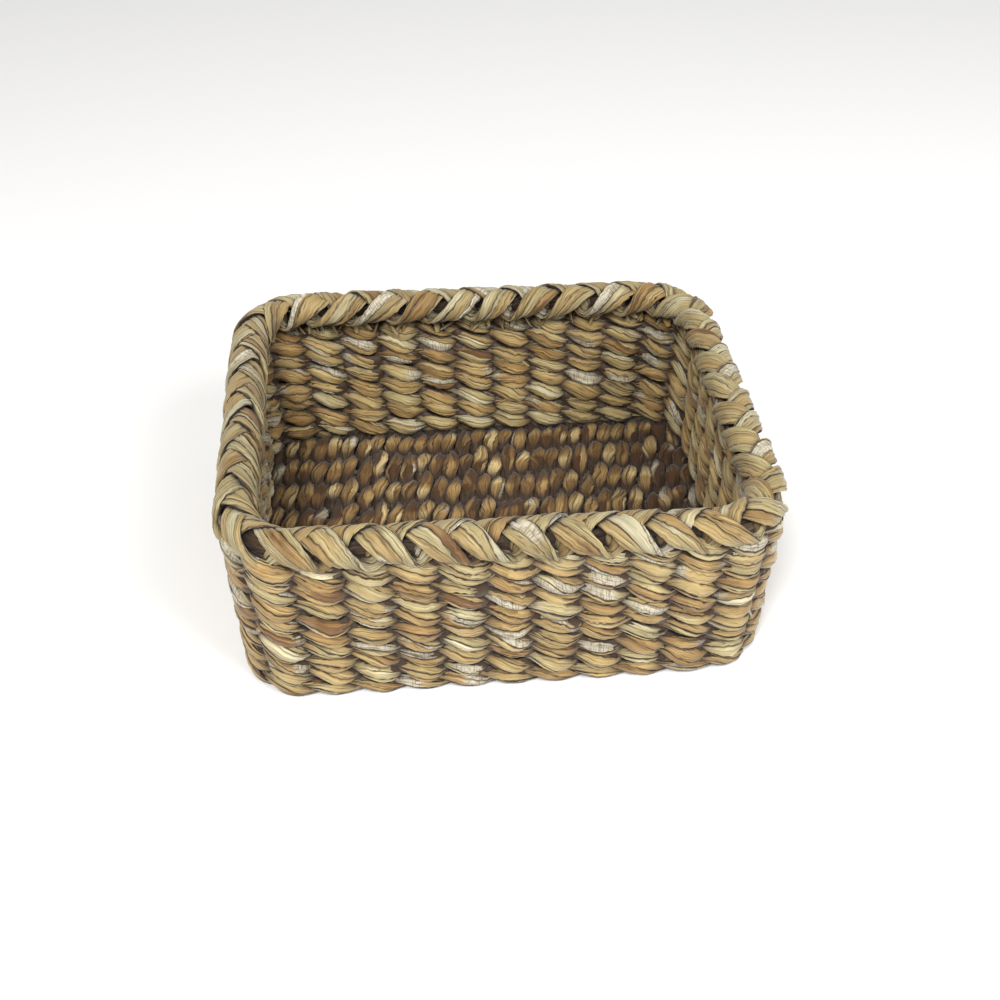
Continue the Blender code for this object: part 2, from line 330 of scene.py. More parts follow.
def strip_mesh(name, strips, closed, material):
    """One object from leaf strips that each have a ring of points at every step.

    A strip holds its points (steps, sides, 3), how far along it is at each step and one
    more, how far across each side is, a mark of its own that sets its grain apart, and its
    tint, its paleness and its darkness at every step. The darkness is mostly painted shade.
    An open strip's ends are capped.
    """
    points, corners, caps, grain, looks = [], [], [], [], []
    start = 0
    for strip in strips:
        rings, sides = strip["points"].shape[:2]
        points.append(handmade(strip["points"]).reshape(-1, 3))
        steps = np.arange(rings if closed else rings - 1)
        side = np.arange(sides)
        after = (side + 1) % sides
        quads = np.empty((len(steps), sides, 4), dtype=int)
        places = np.empty((len(steps), sides, 4, 3))
        for corner, (ahead, across) in enumerate([(0, side), (0, after), (1, after), (1, side)]):
            quads[:, :, corner] = start + ((steps + ahead) % rings)[:, None] * sides + across
            places[:, :, corner, 0] = strip["along"][steps + ahead][:, None]
            places[:, :, corner, 1] = strip["across"][across]
            places[:, :, corner, 2] = strip["mark"]
        corners.append(quads.reshape(-1))
        grain.append(places.reshape(-1, 3))
        if not closed:
            caps += [start + side[::-1], start + (rings - 1) * sides + side]
        look = np.stack([strip["tint"], strip["pale"], strip["dark"]], axis=-1)
        looks.append(np.repeat(look, sides, axis=0))
        start += rings * sides
    quad_count = sum(len(part) for part in corners) // 4
    sizes = np.array([4] * quad_count + [len(cap) for cap in caps])
    points = np.concatenate(points)
    corners = np.concatenate(corners + caps)
    grain.append(np.zeros((len(corners) - 4 * quad_count, 3)))
    mesh = bpy.data.meshes.new(name)
    mesh.vertices.add(len(points))
    mesh.vertices.foreach_set("co", points.astype(np.float32).ravel())
    mesh.loops.add(len(corners))
    mesh.loops.foreach_set("vertex_index", corners.astype(np.int32))
    mesh.polygons.add(len(sizes))
    mesh.polygons.foreach_set("loop_start", (np.cumsum(sizes) - sizes).astype(np.int32))
    mesh.update(calc_edges=True)
    mesh.validate()
    for kind, domain, values in (("grain", "CORNER", grain), ("look", "POINT", looks)):
        layer = mesh.attributes.new(kind, "FLOAT_VECTOR", domain)
        layer.data.foreach_set("vector", np.concatenate(values).astype(np.float32).ravel())
    mesh.shade_smooth()
    mesh.set_sharp_from_angle(angle=LEAF_FOLD)
    mesh.materials.append(material)
    return add_object(name, mesh)


def bundle(
    centre,
    thick_axis,
    broad_axis,
    half_thick,
    half_broad,
    rng,
    *,
    strips,
    per_stitch,
    tint,
    dark,
    pale,
    heart,
    twist=0,
    closed=True,
    leaf=LEAF_THICKNESS,
    tint_by_stitch=TINT_BY_STITCH,
):
    """Leaf strips wrapped round a strand's middle line, each overlapping the next.

    centre and the two axes hold a row for every ring. half_thick and half_broad are the
    oval section's half sizes there. A strip's edges, crown, fold and tint change from one
    stitch to the next, and pale is the share of its stitches that are woolly. heart holds
    the half sizes of the packed fibre inside.
    """
    rings = len(centre)
    stitches = math.ceil(rings / per_stitch)
    step = np.linalg.norm(np.diff(centre, axis=0, append=centre[:1]), axis=1)
    if not closed:
        step[-1] = step[-2]
    along = np.concatenate([[0], np.cumsum(step)])
    squash = float(np.mean(half_broad) / np.mean(half_thick))
    angles = np.linspace(0, 2 * math.pi, SECTION_POINTS)
    speed = np.sqrt(np.sin(angles) ** 2 + (squash * np.cos(angles)) ** 2)
    way = np.concatenate([[0], np.cumsum((speed[1:] + speed[:-1]) / 2)])
    way /= way[-1]
    drift = EDGE_DRIFT * ripple(rings, 12, rng)
    drift += rng.uniform() + twist * np.arange(rings) / rings

    def by_stitch(values, blend):
        return stepped(values, per_stitch, blend)[:rings]

    edges = []
    for strip in range(strips):
        uneven = by_stitch(rng.uniform(-EDGE_SHIFT, EDGE_SHIFT, size=stitches), 0.7)
        edges.append((strip + uneven) / strips + drift)
    profile = np.linspace(0, 1, LEAF_SIDES)
    profile = 0.5 - 0.5 * np.cos(math.pi * profile) * (1 - 0.35 * np.sin(math.pi * profile))
    made = []
    tints = tint + rng.normal(size=strips) * TINT_BY_STRIP
    for strip in range(strips):
        torn = RAGGED / strips * rng.normal(size=(2, rings))
        low = edges[strip] - STRIP_OVERLAP / strips + torn[0]
        high = edges[(strip + 1) % strips] + (1 if strip == strips - 1 else 0)
        high = np.maximum(high + STRIP_OVERLAP / strips + torn[1], low + NARROWEST_STRIP)
        crown = by_stitch(rng.uniform(*CROWN, size=stitches), 0.5)
        crease = rng.uniform(*CREASE_PLACE)
        fold = by_stitch(rng.uniform(0, 1, size=stitches) ** 2, 0.5)
        pleat = by_stitch(rng.uniform(0, 2 * math.pi, size=stitches), 0.9)
        sides = []
        # The upper face is crowned, rises to the edge that lies on top, and has a fold and pleats
        for place in profile:
            bulge = crown * math.sin(math.pi * place) ** 0.6 + TOP_EDGE_LIFT * place
            crease_share = math.exp(-(((place - crease) / CREASE_WIDTH) ** 2))
            bulge = bulge - CREASE_DEPTH * fold * crease_share
            bulge = bulge + PLEAT_DEPTH * np.sin(2 * math.pi * PLEATS * place + pleat)
            bulge = bulge + CRUMPLE * rng.normal(size=rings) * math.sin(math.pi * place)
            sides.append((low + (high - low) * place, leaf * bulge))
        for place in UNDERSIDE:
            under = leaf * (0.65 * place - 0.40)
            sides.append((low + (high - low) * place, np.full(rings, under)))
        ring_points = np.empty((rings, len(sides), 3))
        for side, (share, lift) in enumerate(sides):
            angle = np.interp(share % 1, way, angles)
            thick = (np.cos(angle) * (half_thick + lift))[:, None] * thick_axis
            broad = (np.sin(angle) * (half_broad + lift))[:, None] * broad_axis
            ring_points[:, side] = centre + thick + broad
        varied = rng.normal(size=stitches) * tint_by_stitch
        woolly = rng.uniform(size=stitches) < pale
        made.append(
            {
                "points": ring_points,
                "along": along,
                "across": np.concatenate([profile, UNDERSIDE]) * LEAF_WIDTH,
                "mark": rng.uniform(0, GREATEST_MARK),
                "tint": tints[strip] + by_stitch(varied, 0.3),
                "pale": by_stitch(woolly.astype(float), 0.2),
                "dark": dark,
            }
        )
    made.append(core(centre, thick_axis, broad_axis, *heart, along))
    return made


def core(centre, thick_axis, broad_axis, half_thick, half_broad, along):
    """An oval tube of packed fibre, seen only between the leaf strips, painted dark as the shade
    there.
    """
    rings = len(centre)
    turns = np.arange(CORE_SIDES) * 2 * math.pi / CORE_SIDES
    points = np.empty((rings, CORE_SIDES, 3))
    for side, turn in enumerate(turns):
        thick = (math.cos(turn) * half_thick)[:, None] * thick_axis
        points[:, side] = centre + thick + (math.sin(turn) * half_broad)[:, None] * broad_axis
    return {
        "points": points,
        "along": along,
        "across": np.full(CORE_SIDES, LEAF_WIDTH / 2),
        "mark": GREATEST_MARK / 2,
        "tint": np.zeros(rings),
        "pale": np.zeros(rings),
        "dark": np.full(rings, CORE_DARKNESS),
    }


def between(sizes, near):
    """Goes from the first size to the second as near goes from 0 to 1."""
    return sizes[0] + (sizes[1] - sizes[0]) * near


def twined(line, share, half, sizes):
    """Middle line and section of one of a pair of strands that twine round each other.

    line(share) gives the pair's own middle line and the outward direction. There is a stake
    at every whole number of share, where one strand is outside it and the other inside it.
    Half way between two stakes the strands cross, one over the other and both narrow. near
    is 0 there and 1 at a stake.
    """
    middle, out = line(share)
    angle = half * math.pi - math.pi * share
    side = np.cos(angle)
    near = np.abs(side)
    distance = sizes["distance"] * np.tanh(DWELL * side) / math.tanh(DWELL)
    rise = sizes["rise"] * np.sin(angle) - STITCH_SAG * (side**2 - 0.5)
    centre = middle + distance[:, None] * out + rise[:, None] * UP
    tilt = (STITCH_TILT * side)[:, None]
    thick_axis = np.cos(tilt) * out + np.sin(tilt) * UP
    broad_axis = np.cos(tilt) * UP - np.sin(tilt) * out
    thick = between(sizes["thick"], near)
    broad = between(sizes["broad"], near**BULGE_POWER)
    return centre, thick_axis, broad_axis, thick, broad, near


def course_sizes(course):
    """Half length, half depth and height of a course's middle line, from its strands' boxes.

    The binding, one more pair of strands half hidden by the rim, follows on above the top one.
    """
    if course == COURSES:
        top, below = (np.array(course_sizes(COURSES - steps)) for steps in (1, 2))
        return top + BINDING_RISE * (top - below)
    boxes = [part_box(f"course_{course + 1:02d}_strand_{letter}") for letter in "ab"]
    half_length = max(high.x for _, high in boxes) - STRAND_REACH
    half_depth = max(high.y for _, high in boxes) - STRAND_REACH
    height = (min(low.z for low, _ in boxes) + max(high.z for _, high in boxes)) / 2
    return half_length, half_depth, height


def course_line(course):
    """The function that gives a course's middle line and outward directions for twined."""
    half_length, half_depth, height = course_sizes(course)

    def line(share):
        points, out = outline(half_length, half_depth, WALL_CORNER, share / STAKES)
        return points + height * UP, out

    return line


def wall_strand(course, half, material):
    """One of a course's two strands. The first also carries a thin dark sheet along the course's
    middle, painted shade that shows through the gaps between stitches.
    """
    letter = "ab"[half]
    name = f"course_{course + 1:02d}_strand_{letter}" if course < COURSES else f"binding_{letter}"
    rng = np.random.default_rng(100 + 2 * course + half)
    rings = STAKES * RINGS_PER_STITCH
    share = np.arange(rings) / RINGS_PER_STITCH
    sway = STITCH_SWAY * ripple(rings, 26, rng)
    stagger = np.random.default_rng(800 + course).normal(0, STAGGER_SPREAD)
    stagger += COURSE_STAGGER * (-1) ** course
    centre, thick_axis, broad_axis, thick, broad, near = twined(
        course_line(course),
        share + sway + stagger,
        half,
        {
            "distance": STITCH_DISTANCE,
            "rise": CROSSING_RISE,
            "thick": STRAND_THICK,
            "broad": STRAND_BROAD,
        },
    )
    plump = stepped(rng.normal(1, STITCH_PLUMPNESS, size=STAKES), RINGS_PER_STITCH, 0.6)
    shared = np.random.default_rng(900 + course)
    lift = COURSE_WANDER * ripple(rings, 14, shared)
    lift += stepped(rng.normal(0, STITCH_LIFT, size=STAKES), RINGS_PER_STITCH, 0.8)
    bulge = stepped(rng.normal(0, STITCH_BULGE, size=STAKES), RINGS_PER_STITCH, 0.8)
    centre = centre + lift[:, None] * UP + bulge[:, None] * thick_axis
    strips = bundle(
        centre,
        thick_axis,
        broad_axis,
        thick * plump - LEAF_THICKNESS / 2,
        broad * plump - LEAF_THICKNESS / 2,
        rng,
        strips=int(rng.choice(STRIP_COUNTS)),
        per_stitch=RINGS_PER_STITCH,
        twist=int(rng.integers(*TWISTS)),
        tint=0.50 + TINT_BY_STRAND * rng.normal(),
        # Painted shade, darker towards the crossings where the strand passes under its partner
        dark=1 - near,
        pale=0.10,
        heart=(between(HEART_THICK, near), between(HEART_BROAD, near)),
    )
    # The dark sheet of painted shade along the course's middle
    if half == 0:
        middle, out = course_line(course)(share)
        upright = np.broadcast_to(UP, out.shape)
        sheet = [np.full(rings, SHADE_SHEET_THICK), np.full(rings, SHADE_SHEET_BROAD)]
        strips.append(core(middle, out, upright, *sheet, strips[0]["along"]))
    piece = strip_mesh(f"visual_{name}", strips, True, material)
    return piece, name


def plait_line(share):
    """The rim's middle line in plan and the outward directions, at shares of the way round."""
    boxes = [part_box(f"rim_plait_strand_{index + 1}") for index in range(3)]
    return outline(
        max(high.x for _, high in boxes) - PLAIT_REACH,
        max(high.y for _, high in boxes) - PLAIT_REACH,
        PLAIT_CORNER,
        share,
    )


def hastened(phase):
    """Slows a plait strand on its way out to an edge and hurries it on its hidden way back."""
    halves = np.floor(phase / math.pi)
    rest = phase / math.pi - halves
    return math.pi * (halves + np.interp(rest, [0, PLAIT_OUTWARD_SHARE, 1], [0, 0.5, 1]))


def rim_strand(index, material):
    """One strand of the plait.

    It swings over the rim from low on the outer face to low on the inner one and back,
    over the other strands on its way out to an edge and under them on its way back.
    """
    name = f"rim_plait_strand_{index + 1}"
    rng = np.random.default_rng(300 + index)
    rings = PLAIT_CYCLES * RINGS_PER_CYCLE
    share = np.arange(rings) / rings
    middle, out = plait_line(share)
    height = CAD_HIGH.z - PLAIT_DROP
    phase = 2 * math.pi * (np.arange(rings) / RINGS_PER_CYCLE + index / 3)
    phase += PLAIT_PACE_WANDER * ripple(rings, 24, rng)
    shifts = (-PLAIT_TURN_BLUR, 0.0, PLAIT_TURN_BLUR)
    phase = sum(hastened(phase + shift) for shift in shifts) / len(shifts)
    swing = np.arcsin(PLAIT_STRAIGHTNESS * np.sin(phase)) / math.asin(PLAIT_STRAIGHTNESS)
    wrap = PLAIT_CREST + np.where(swing > 0, PLAIT_OUTER_WRAP, PLAIT_INNER_WRAP) * swing
    wrap += PLAIT_WRAP_WANDER * ripple(rings, 30, rng)
    across = np.cos(wrap)[:, None] * out - np.sin(wrap)[:, None] * UP
    face = np.sin(wrap)[:, None] * out + np.cos(wrap)[:, None] * UP
    rise = PLAIT_RISE * np.sin(2 * phase) + PLAIT_RISE_WANDER * ripple(rings, 30, rng)
    centre = middle + height * UP + rise[:, None] * face
    centre = centre + (PLAIT_HALF_WIDTH * np.sin(wrap))[:, None] * out
    centre = centre + (PLAIT_HALF_HEIGHT * np.cos(wrap))[:, None] * UP
    heading = np.roll(centre, -1, axis=0) - np.roll(centre, 1, axis=0)
    heading /= np.linalg.norm(heading, axis=1)[:, None]
    roll = math.pi / 2 * (1 - np.tanh(RIM_ROLL * np.cos(phase)) / math.tanh(RIM_ROLL))
    thick_axis = np.cos(roll)[:, None] * face + np.sin(roll)[:, None] * across
    thick_axis -= np.sum(thick_axis * heading, axis=1)[:, None] * heading
    thick_axis /= np.linalg.norm(thick_axis, axis=1)[:, None]
    broad_axis = np.cross(heading, thick_axis)
    at_edge = np.sin(phase) ** 4
    plump = 1 + PLAIT_PLUMPNESS * ripple(rings, 30, rng)
    thick = between((RIM_FACE_THICK, RIM_EDGE_THICK), at_edge)
    broad = between((RIM_FACE_BROAD, RIM_EDGE_BROAD), at_edge)
    strips = bundle(
        centre,
        thick_axis,
        broad_axis,
        thick * plump - LEAF_THICKNESS / 2,
        broad * plump - LEAF_THICKNESS / 2,
        rng,
        strips=RIM_STRIPS,
        per_stitch=RINGS_PER_CYCLE // 3,
        twist=int(rng.integers(*RIM_TWISTS)),
        tint=0.5 + 0.08 * rng.normal(),
        # Painted shade at the plait's edges, where the strand turns under the others
        dark=0.3 * at_edge,
        pale=0.06,
        heart=(thick - RIM_HEART_THINNER, broad - RIM_HEART_NARROWER),
    )
    return strip_mesh(f"visual_{name}", strips, True, material), name


def rim_filling(material):
    """The stakes' folded ends, which fill the rim under its plait."""
    rng = np.random.default_rng(350)
    rings = STAKES * RINGS_PER_FOLD
    middle, out = plait_line(np.arange(rings) / rings)
    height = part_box("rim_plait_strand_1")[0].z + FILLING_HEIGHT
    centre = middle + height * UP + FILLING_SHIFT * out
    uneven = 1 + FILLING_UNEVENNESS * ripple(rings, STAKES, rng)
    strips = bundle(
        centre,
        out,
        np.broadcast_to(UP, out.shape),
        FILLING_THICK * uneven,
        FILLING_BROAD * uneven,
        rng,
        strips=7,
        per_stitch=RINGS_PER_FOLD,
        twist=3,
        tint=0.15,
        # Painted shade, as the folded ends lie under the plait
        dark=np.full(rings, 0.7),
        pale=0.02,
        heart=(
            np.full(rings, FILLING_THICK - FILLING_RIND),
            np.full(rings, FILLING_BROAD - FILLING_RIND),
        ),
    )
    return strip_mesh("visual_rim_filling", strips, True, material)


def foot_strand(half, material):
    """One of the foot rope's two strands, which cross where the wall's stitches bulge."""
    name = f"foot_rope_strand_{'ab'[half]}"
    rng = np.random.default_rng(400 + half)
    low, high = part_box(name)
    rings = STAKES * RINGS_PER_STITCH
    share = np.arange(rings) / RINGS_PER_STITCH

    def line(place):
        points, out = outline(high.x - FOOT_REACH, high.y - FOOT_REACH, FOOT_CORNER, place / STAKES)
        return points + (high.z + low.z) / 2 * UP, out

    centre, thick_axis, broad_axis, thick, broad, near = twined(
        line,
        share + 0.5,
        half,
        {"distance": FOOT_DISTANCE, "rise": FOOT_RISE, "thick": FOOT_THICK, "broad": FOOT_BROAD},
    )
    shared = np.random.default_rng(950)
    lift = FOOT_LIFT + FOOT_WAVE * np.abs(ripple(rings, 18, shared))
    centre = centre + lift[:, None] * UP
    strips = bundle(
        centre,
        thick_axis,
        broad_axis,
        thick - LEAF_THICKNESS / 2,
        broad - LEAF_THICKNESS / 2,
        rng,
        strips=4,
        per_stitch=RINGS_PER_STITCH,
        twist=int(rng.integers(*TWISTS)),
        tint=0.42,
        # Painted shade, darker towards the crossings where the strand passes under its partner
        dark=1 - near,
        pale=0.08,
        heart=(between(FOOT_HEART_THICK, near), between(FOOT_HEART_BROAD, near)),
    )
    return strip_mesh(f"visual_{name}", strips, True, material), name


def rolled_rod(path, radius, rng):
    """Leaf strips rolled into a rod along a path."""
    heading = np.gradient(path, axis=0)
    heading /= np.linalg.norm(heading, axis=1)[:, None]
    across = np.cross(heading, SLANT)
    across /= np.linalg.norm(across, axis=1)[:, None]
    rings = len(path)
    half = np.full(rings, radius)
    return bundle(
        path,
        across,
        np.cross(heading, across),
        half,
        half,
        rng,
        strips=3,
        per_stitch=8,
        closed=False,
        twist=1.5,
        leaf=ROD_LEAF_THICKNESS,
        tint=0.2,
        # Painted shade, as the rods are seen only between the strands
        dark=np.full(rings, 0.4),
        pale=0.02,
        heart=(ROD_HEART * half, ROD_HEART * half),
    )


def stake_path(step):
    """From the base up through the wall, about where the courses' stitches bulge."""
    low_length, low_depth, low_height = course_sizes(0)
    high_length, high_depth, high_height = course_sizes(COURSES - 1)
    path = []
    for height in np.linspace(ROD_HEIGHT, high_height + STAKE_TIP, STAKE_RINGS):
        share = (height - low_height) / (high_height - low_height)
        length = low_length + (high_length - low_length) * share
        depth = low_depth + (high_depth - low_depth) * share
        point, out = outline(length, depth, WALL_CORNER, step / STAKES)
        inward = max(1 - (height - ROD_HEIGHT) / STAKE_BEND, 0) ** 2 * STAKE_BEND
        path.append(point - inward * out + height * UP)
    return np.array(path)


def stakes(name, steps, material):
    """Stakes at some of the steps round the wall, which are counted from the front's middle."""
    rng = np.random.default_rng(600 + steps[0])
    strips = []
    for step in steps:
        strips += rolled_rod(stake_path(step), STAKE_RADIUS, rng)
    return strip_mesh(name, strips, False, material)


def cross_rod_steps():
    """Where the cross rods turn up into the wall at the +X end."""
    return [STAKES // 4 + index - CROSS_RODS // 2 for index in range(CROSS_RODS)]


def stake_groups():
    """The steps of the front, back and corner stakes. The cross rods take the others."""
    from_middle = range(-(SIDE_STAKES // 2), SIDE_STAKES // 2 + 1)
    front = [step % STAKES for step in from_middle]
    back = [STAKES // 2 + step for step in from_middle]
    ends = [end for step in cross_rod_steps() for end in (step, STAKES - step)]
    corners = [step for step in range(STAKES) if step not in front + back + ends]
    return {"front_stake": front, "back_stake": back, "corner_stake": corners}


def cross_rods(material):
    """Rods across the base that turn up into the end walls."""
    rng = np.random.default_rng(650)
    strips = []
    for step in cross_rod_steps():
        right = stake_path(step)
        left = stake_path(STAKES - step)
        floor = np.linspace(left[0], right[0], STAKE_RINGS)[1:-1]
        strips += rolled_rod(np.concatenate([left[::-1], floor, right]), STAKE_RADIUS, rng)
    return strip_mesh("visual_cross_rods", strips, False, material)


def base_rows(part, material):
    """One third of the base's rows, twined across the cross rods, cut to the wall's foot."""
    low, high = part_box("base_weave_lower")
    height = (low.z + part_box("base_weave_upper")[1].z) / 2
    rods = [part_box(f"cross_rod_{index + 1}") for index in range(CROSS_RODS)]
    rod_pitch = np.mean(np.diff(sorted((front.y + back.y) / 2 for front, back in rods)))
    stitch = max(int(rod_pitch / BASE_STEP), 1)
    rows = int(2 * high.x / ROW_PITCH)
    strips = []
    for row in range(rows * part // BASE_PARTS, rows * (part + 1) // BASE_PARTS):
        x = (row - (rows - 1) / 2) * ROW_PITCH
        past_corner = max(abs(x) - (high.x - BASE_CORNER), 0)
        corner_depth = math.sqrt(max(BASE_CORNER**2 - past_corner**2, 0))
        reach = high.y - BASE_CORNER + corner_depth - BASE_GAP
        rings = int(2 * reach / BASE_STEP)
        y = np.linspace(-reach, reach, rings)
        shared = np.random.default_rng(row)
        shift = ROW_SHIFT * np.interp(y, np.linspace(-reach, reach, 9), shared.normal(size=9))
        loose = ROW_SLACK * np.interp(y, np.linspace(-reach, reach, 11), shared.normal(size=11))
        for half in range(2):
            rng = np.random.default_rng(500 + 2 * row + half)
            angle = (half + row) * math.pi + math.pi * y / rod_pitch + loose
            side = np.cos(angle)
            near = np.abs(side)
            lift = rng.normal(0, BASE_LIFT, size=math.ceil(rings / stitch))
            rise = BASE_RISE * np.tanh(DWELL * side) / math.tanh(DWELL)
            rise += stepped(lift, stitch, 0.8)[:rings]
            across = x + shift + BASE_SWING * np.sin(angle)
            level = np.zeros(rings)
            strips += bundle(
                np.stack([across, y, height + rise], axis=-1),
                np.stack([level, level, np.ones(rings)], axis=-1),
                np.stack([np.ones(rings), level, level], axis=-1),
                between(BASE_THICK, near),
                between(BASE_BROAD, near**BASE_BULGE_POWER),
                rng,
                strips=3,
                per_stitch=stitch,
                closed=False,
                leaf=BASE_LEAF_THICKNESS,
                tint=0.42 + BASE_TINT_BY_STRAND * rng.normal(),
                tint_by_stitch=BASE_TINT_BY_STITCH,
                # Painted shade, darker towards the crossings where the rows pass under each other
                dark=1 - near,
                pale=0.04,
                heart=(np.full(rings, BASE_HEART_THICK), np.full(rings, BASE_HEART_BROAD)),
            )
    return strip_mesh(f"visual_base_weave_{part + 1}", strips, False, material)


def shred(start, heading, curl, length, width, rng):
    """A torn end of leaf: a flat ribbon that narrows, from start along heading, curling."""
    share = np.linspace(0, 1, SHRED_RINGS)[:, None]
    heading = heading / np.linalg.norm(heading)
    path = start + length * (share * heading + share**2 * curl)
    flat = np.cross(heading, rng.normal(size=3))
    flat /= np.linalg.norm(flat)
    face = np.cross(heading, flat)
    half = width / 2 * (1 - SHRED_TAPER * share**2)
    sides = np.arange(SHRED_SIDES)
    points = np.empty((SHRED_RINGS, SHRED_SIDES, 3))
    for side in sides:
        turn = side * 2 * math.pi / SHRED_SIDES
        crown = LEAF_THICKNESS / 2 * math.sin(turn)
        points[:, side] = path + half * math.cos(turn) * flat + crown * face
    return {
        "points": points,
        "along": np.linspace(0, length, SHRED_RINGS + 1),
        "across": 0.0065 - 0.0020 * np.minimum(sides, SHRED_SIDES - sides),
        "mark": rng.uniform(0, GREATEST_MARK),
        "tint": np.full(SHRED_RINGS, rng.uniform(0.2, 0.8)),
        "pale": np.full(SHRED_RINGS, float(rng.uniform() < 0.15)),
        "dark": np.full(SHRED_RINGS, rng.uniform(0, 0.5)),
    }


def cut_ends(material):
    """The stakes' frayed ends, which hang under the plait on the inside."""
    rng = np.random.default_rng(700)
    half_length, half_depth, height = course_sizes(COURSES - 1)
    shreds = []
    for place in range(STAKES):
        for _ in range(rng.integers(*CUT_ENDS)):
            where = (place + rng.uniform(-0.5, 0.5)) / STAKES
            point, out = outline(half_length, half_depth, WALL_CORNER, where)
            along = np.cross(UP, out)
            start = point - rng.uniform(*CUT_END_INSET) * out
            start = start + (height + rng.uniform(*CUT_END_RISE)) * UP
            heading = -UP + rng.normal(0, 0.5) * along - rng.uniform(0.0, 0.30) * out
            curl = rng.normal(0, 0.25) * along - rng.uniform(0, 0.2) * UP
            length = rng.uniform(*CUT_END_LENGTH)
            width = rng.uniform(*CUT_END_WIDTH)
            shreds.append(shred(start, heading, curl, length, width, rng))
    return strip_mesh("visual_cut_ends", shreds, False, material)


def stubs(material):
    """Short ends that poke out of the wall, where a new leaf was laid in at a crossing."""
    rng = np.random.default_rng(710)
    shreds = []
    for course in range(COURSES):
        half_length, half_depth, height = course_sizes(course)
        for place in range(STAKES):
            for facing in (1, -1):
                if rng.uniform() > STUB_CHANCE:
                    continue
                where = (place + 0.5 + rng.normal(0, 0.12)) / STAKES
                point, out = outline(half_length, half_depth, WALL_CORNER, where)
                along = np.cross(UP, out)
                start = point + facing * STUB_START * out
                start = start + (height + rng.uniform(*STUB_RISE)) * UP
                heading = facing * out * rng.uniform(0.15, 0.4) + along * rng.choice([-1, 1])
                heading = heading + UP * rng.normal(0, 0.4)
                curl = UP * rng.normal(0, 0.3) + facing * out * rng.uniform(-0.25, 0.1)
                length = rng.uniform(*STUB_LENGTH)
                width = rng.uniform(*STUB_WIDTH)
                shreds.append(shred(start, heading, curl, length, width, rng))
    return strip_mesh("visual_stubs", shreds, False, material)


def rim_fibres(material):
    """Loose fibres on the plait."""
    rng = np.random.default_rng(720)
    shreds = []
    for _ in range(RIM_FIBRES):
        point, out = plait_line(rng.uniform())
        angle = rng.uniform(*FIBRE_ANGLE)
        normal = math.sin(angle) * out + math.cos(angle) * UP
        along = np.cross(UP, out)
        start = point + (CAD_HIGH.z - PLAIT_DROP) * UP
        start = start + PLAIT_HALF_WIDTH * math.sin(angle) * out
        start = start + PLAIT_HALF_HEIGHT * math.cos(angle) * UP + FIBRE_CLEARANCE * normal
        heading = along * rng.choice([-1, 1]) + FIBRE_CURL * normal
        heading = heading + 0.5 * rng.normal() * np.cross(along, normal)
        length = rng.uniform(*FIBRE_LENGTH)
        width = rng.uniform(*FIBRE_WIDTH)
        shreds.append(shred(start, heading, -FIBRE_CURL * normal, length, width, rng))
    return strip_mesh("visual_rim_fibres", shreds, False, material)


def add_node(tree, kind, place, **settings):
    """A new node. A setting named like one of its sockets goes to that socket."""
    made = tree.nodes.new(kind)
    made.location = place
    for key, value in settings.items():
        if key in made.inputs:
            made.inputs[key].default_value = value
        else:
            setattr(made, key, value)
    return made


